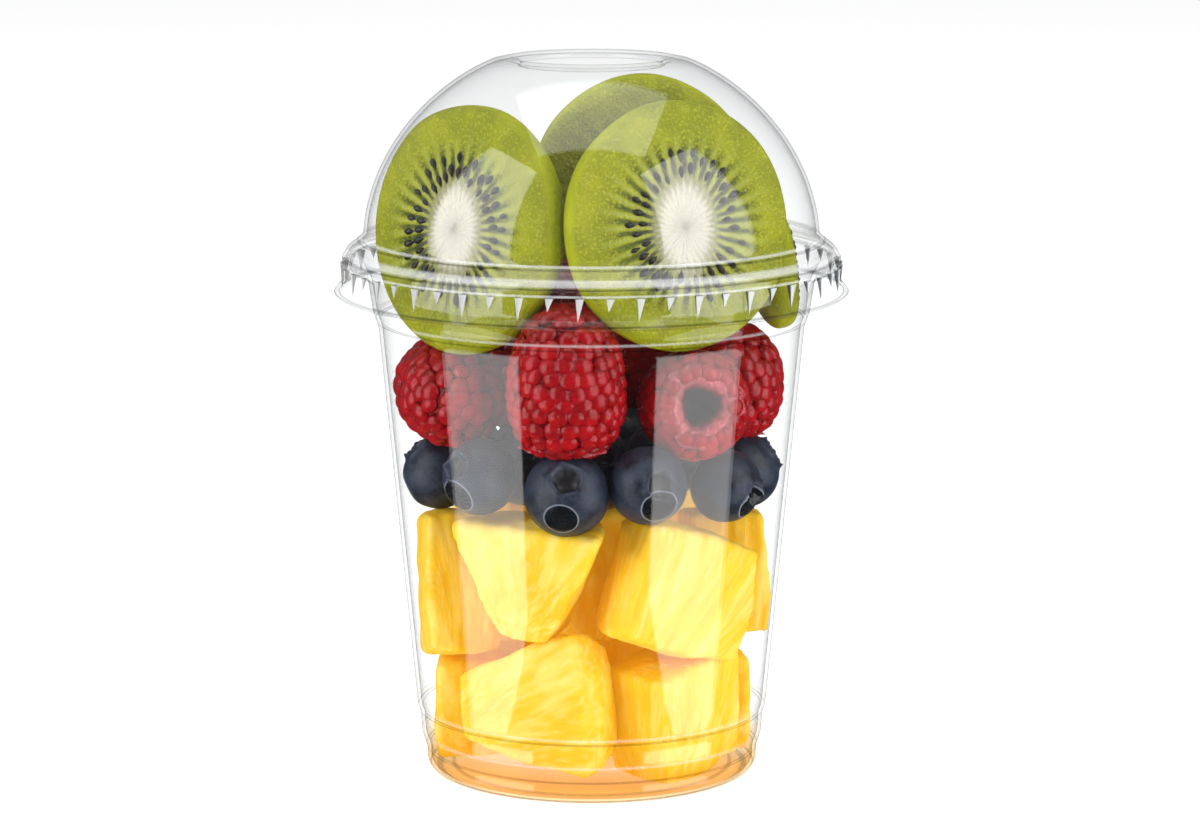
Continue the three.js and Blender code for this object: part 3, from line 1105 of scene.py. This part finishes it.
rim = contact.step(0.93, 0.97) * contact.step(1.06, 1.0)
spot = contact.step(0.98, 0.93)
berry_colour = spot.paint(berry_colour, (0.003, 0.005, 0.010))
berry_colour = (rim * 0.8).paint(berry_colour, (0.24, 0.27, 0.33))
berry_bump = start.bump(bloom_fine, 0.2, 0.1)
surface(
    start,
    {
        "Base Color": berry_colour,
        "Roughness": 0.32 + bloom * 0.16 - spot * 0.16,
        "Specular IOR Level": 0.4,
        "Normal": berry_bump,
    },
)


def crown_height(spread, angle, turn):
    """How far the crown stands out or sinks in, as a share of the berry's radius, at an angle from
    the berry's pole and round it."""
    lobe = 0.5 + 0.5 * cos(5 * (angle + turn))
    rim_at = 0.36 + 0.07 * lobe
    rise = np.exp(-(((spread - rim_at) / 0.06) ** 2)) * (0.05 + 0.09 * lobe)
    dip = -0.22 * (1 - min(1, spread / rim_at) ** 3) if spread < rim_at else 0.0
    return rise + dip


# The berries that lie against the wall, with how far their flat spot reaches, in radians.
spots = {"blueberry_2", "blueberry_3", "blueberry_4", "blueberry_5", "blueberry_1", "blueberry_8"}
spot_reach = 0.5
smaller_spot = {"blueberry_3": 0.42}
crown_forward = {"blueberry_3": (0.0, -0.84, 0.54)}
# Two berries inside the ring are a little fuller than the rest, so the layer shows no chink.
fuller = {"blueberry_10": 1.07, "blueberry_15": 1.085}
berry_columns, berry_rows = 72, 56
squat = 0.96  # height over width of a berry
for number, node in enumerate(solids_of("blueberry")):
    bottom, dimple = axis_of(node)
    up = Vector(crown_forward.get(node, dimple - bottom)).normalized()
    low_corner, high_corner = (Vector(corner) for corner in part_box(node))
    middle = (low_corner + high_corner) / 2
    radius, low, high = reach_from_axis(node, middle, up)
    place = own_frame(middle, up)
    outward = Vector((middle.x, middle.y, 0)).normalized()
    wall_normal = (outward + Vector((0, 0, -0.5))).normalized()
    to_wall = place.to_3x3().inverted() @ wall_normal
    rng = np.random.default_rng(70 + number)
    turn = rng.uniform(0, tau)
    own_reach = smaller_spot.get(node, spot_reach)
    rings = []
    own_places = []
    marks = []
    for row in range(berry_rows + 1):
        spread = pi * (1 - (row / berry_rows) ** 1.15)
        ring = []
        for column in range(1 if row in (0, berry_rows) else berry_columns):
            angle = tau * column / berry_columns
            direction = Vector(
                (sin(spread) * cos(angle), sin(spread) * sin(angle), cos(spread))
            )
            swell = 1 + 0.018 * noise.noise(direction * 1.3 + Vector((number * 5.0, 0, 0)))
            swell += 0.004 * noise.noise(direction * 7 + Vector((number, 0, 0)))
            crown_here = crown_height(spread, angle, turn) if spread < 0.8 else 0.0
            local = direction * radius * (swell - 0.012) * fuller.get(node, 1)
            local.z *= squat
            local += Vector((0, 0, crown_here * radius))
            gap = direction.angle(to_wall)
            if node in spots and gap < own_reach:
                flat = radius * cos(own_reach)
                depth_here = local.dot(to_wall)
                local -= to_wall * max(0, depth_here - flat * 1.03) * 0.6
            ring.append(place @ local)
            own_places.append(tuple(direction))
            sunk = max(0, 1 - spread / 0.42)
            marks.append((gap / own_reach if node in spots else 3.0, sunk, number * 2.3))
        rings.append(ring)
    berry = shell(f"{node}_berry", rings, berry_skin)
    store(berry, "own_place", own_places)
    store(berry, "marks", marks)
    finish_piece(berry, "blueberry", node)

# ----------------------------------------------------------
# Pineapple chunks: wedges cut from a cored ring, soft wet yellow flesh. Fibres run out from the core
# and stand up as fine ridges; the cut edges are soft and uneven.
# ----------------------------------------------------------

pineapple_flesh, start = new_material("pineapple_flesh")
fibre_place = start.own("fibre_place")
object_place = start.object_place()
fibres = start.noise(fibre_place, 0.42, 2.0, 0.55)
fine_fibres = start.noise(fibre_place, 1.5, 2.0, 0.55)
broad = start.noise(object_place, 70.0, 2.0)
pulp = start.noise(object_place, 900.0, 2.0, 0.6)
flesh_colour = broad.step(0.3, 0.7).paint((0.89, 0.53, 0.010), (0.92, 0.62, 0.030))
flesh_colour = (fibres.step(0.42, 0.72) * 0.75).paint(flesh_colour, (0.95, 0.76, 0.20))
flesh_colour = (fibres.step(0.46, 0.28) * 0.4).paint(flesh_colour, (0.88, 0.45, 0.003))
flesh_colour = (fine_fibres.step(0.5, 0.7) * 0.3).paint(flesh_colour, (0.96, 0.80, 0.32))
flesh_colour = (fine_fibres.step(0.44, 0.28) * 0.22).paint(flesh_colour, (0.86, 0.44, 0.008))
flesh_bump = start.bump(fine_fibres * 0.8 + pulp * 0.2, 0.5, 0.4)
surface(
    start,
    {
        "Base Color": flesh_colour,
        "Roughness": 0.34 + pulp * 0.2,
        "Subsurface Weight": 0.45,
        "Subsurface Radius": (1.0, 0.7, 0.12),
        "Subsurface Scale": 3.0 * mm,
        # Painted glow: a faint amber emission lifts the shade between chunks into amber, standing in for
        # light through the flesh.
        "Emission Color": (0.95, 0.52, 0.012),
        "Emission Strength": 0.13,
        "Specular IOR Level": 0.3,
        "Normal": flesh_bump,
    },
)

# Lean of each chunk's fibres from upright, clockwise as seen from outside the cup, in degrees, and
# how strongly they fan out from their lower end.
fibre_lean = {1: (60, 0.5), 2: (20, 0.4), 7: (8, 0.9), 8: (38, 0.3), 9: (-14, 0.3), 10: (20, 0.3)}
flesh_voxel = 0.45 * mm
proud = 0.7 * mm  # how far the flesh stands out past its solid
chunk_floor = 2.9 * mm
wall_gap = 0.35
for node in solids_of("pineapple"):
    number = int(node.split("_")[1])
    rng = np.random.default_rng(90 + number)
    chunk = bpy.data.objects.new(f"{node}_chunk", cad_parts[node].data.copy())
    scene.collection.objects.link(chunk)
    weld = chunk.modifiers.new("weld", "WELD")
    weld.merge_threshold = 0.01 * mm
    remesh = chunk.modifiers.new("remesh", "REMESH")
    remesh.mode = "VOXEL"
    remesh.voxel_size = flesh_voxel
    smooth = chunk.modifiers.new("smooth", "SMOOTH")
    smooth.factor = 0.6
    smooth.iterations = 5
    graph = bpy.context.evaluated_depsgraph_get()
    mesh = bpy.data.meshes.new_from_object(chunk.evaluated_get(graph))
    chunk.modifiers.clear()
    chunk.data = mesh
    mesh.name = f"{node}_chunk"
    mesh.materials.clear()
    mesh.materials.append(pineapple_flesh)
    mesh.shade_smooth()
    points, mesh_normals = np.empty((2, len(mesh.vertices) * 3))
    mesh.vertices.foreach_get("co", points)
    mesh.vertex_normals.foreach_get("vector", mesh_normals)
    points, mesh_normals = points.reshape(-1, 3), mesh_normals.reshape(-1, 3)
    centre = (points.min(0) + points.max(0)) / 2
    size = (points.max(0) - points.min(0)).max()
    outward = np.array((centre[0], centre[1], 0.0))
    far = np.linalg.norm(outward)
    outward = outward / far if far > 2 * mm else np.array((0.0, -1.0, 0.0))
    across = np.cross((0, 0, 1), outward)
    lean, fan = fibre_lean.get(number, (rng.uniform(-25, 25), 0.35))
    along = cos(radians(lean)) * np.array((0, 0, 1)) + sin(radians(lean)) * across
    away = points - centre
    along_part = away @ along
    side = np.cross(along, outward)
    side_part = away @ side
    out_part = away @ outward
    widen = 1 + fan * along_part / (size / 2)
    widen = np.maximum(widen, 0.25)
    fibre = np.stack(
        [side_part / widen / mm, out_part / widen / mm, along_part / mm * 0.09 + number * 11.0], 1
    )
    fibre[:, :2] *= 0.75
    heights = np.array([noise.noise(Vector(row)) for row in fibre])
    lumps = np.array([noise.noise(Vector(row / (9 * mm)) + Vector((number, 0, 0))) for row in away])
    rough = np.array([noise.noise(Vector(row / (2.2 * mm))) for row in away])
    push = heights * 0.22 * mm + lumps * 0.9 * mm + rough * 0.12 * mm + proud
    points = points + mesh_normals * push[:, None]
    from_axis = np.hypot(points[:, 0], points[:, 1])
    inside = (wall_radius(points[:, 2] / mm) - cup_wall - wall_gap) * mm
    pressed = np.minimum(1, inside / np.maximum(from_axis, mm))
    points[:, :2] *= pressed[:, None]
    points[:, 2] = np.maximum(points[:, 2], chunk_floor)
    mesh.vertices.foreach_set("co", points.ravel())
    mesh.update()
    store(chunk, "fibre_place", fibre)
    finish_piece(chunk, "pineapple", node)
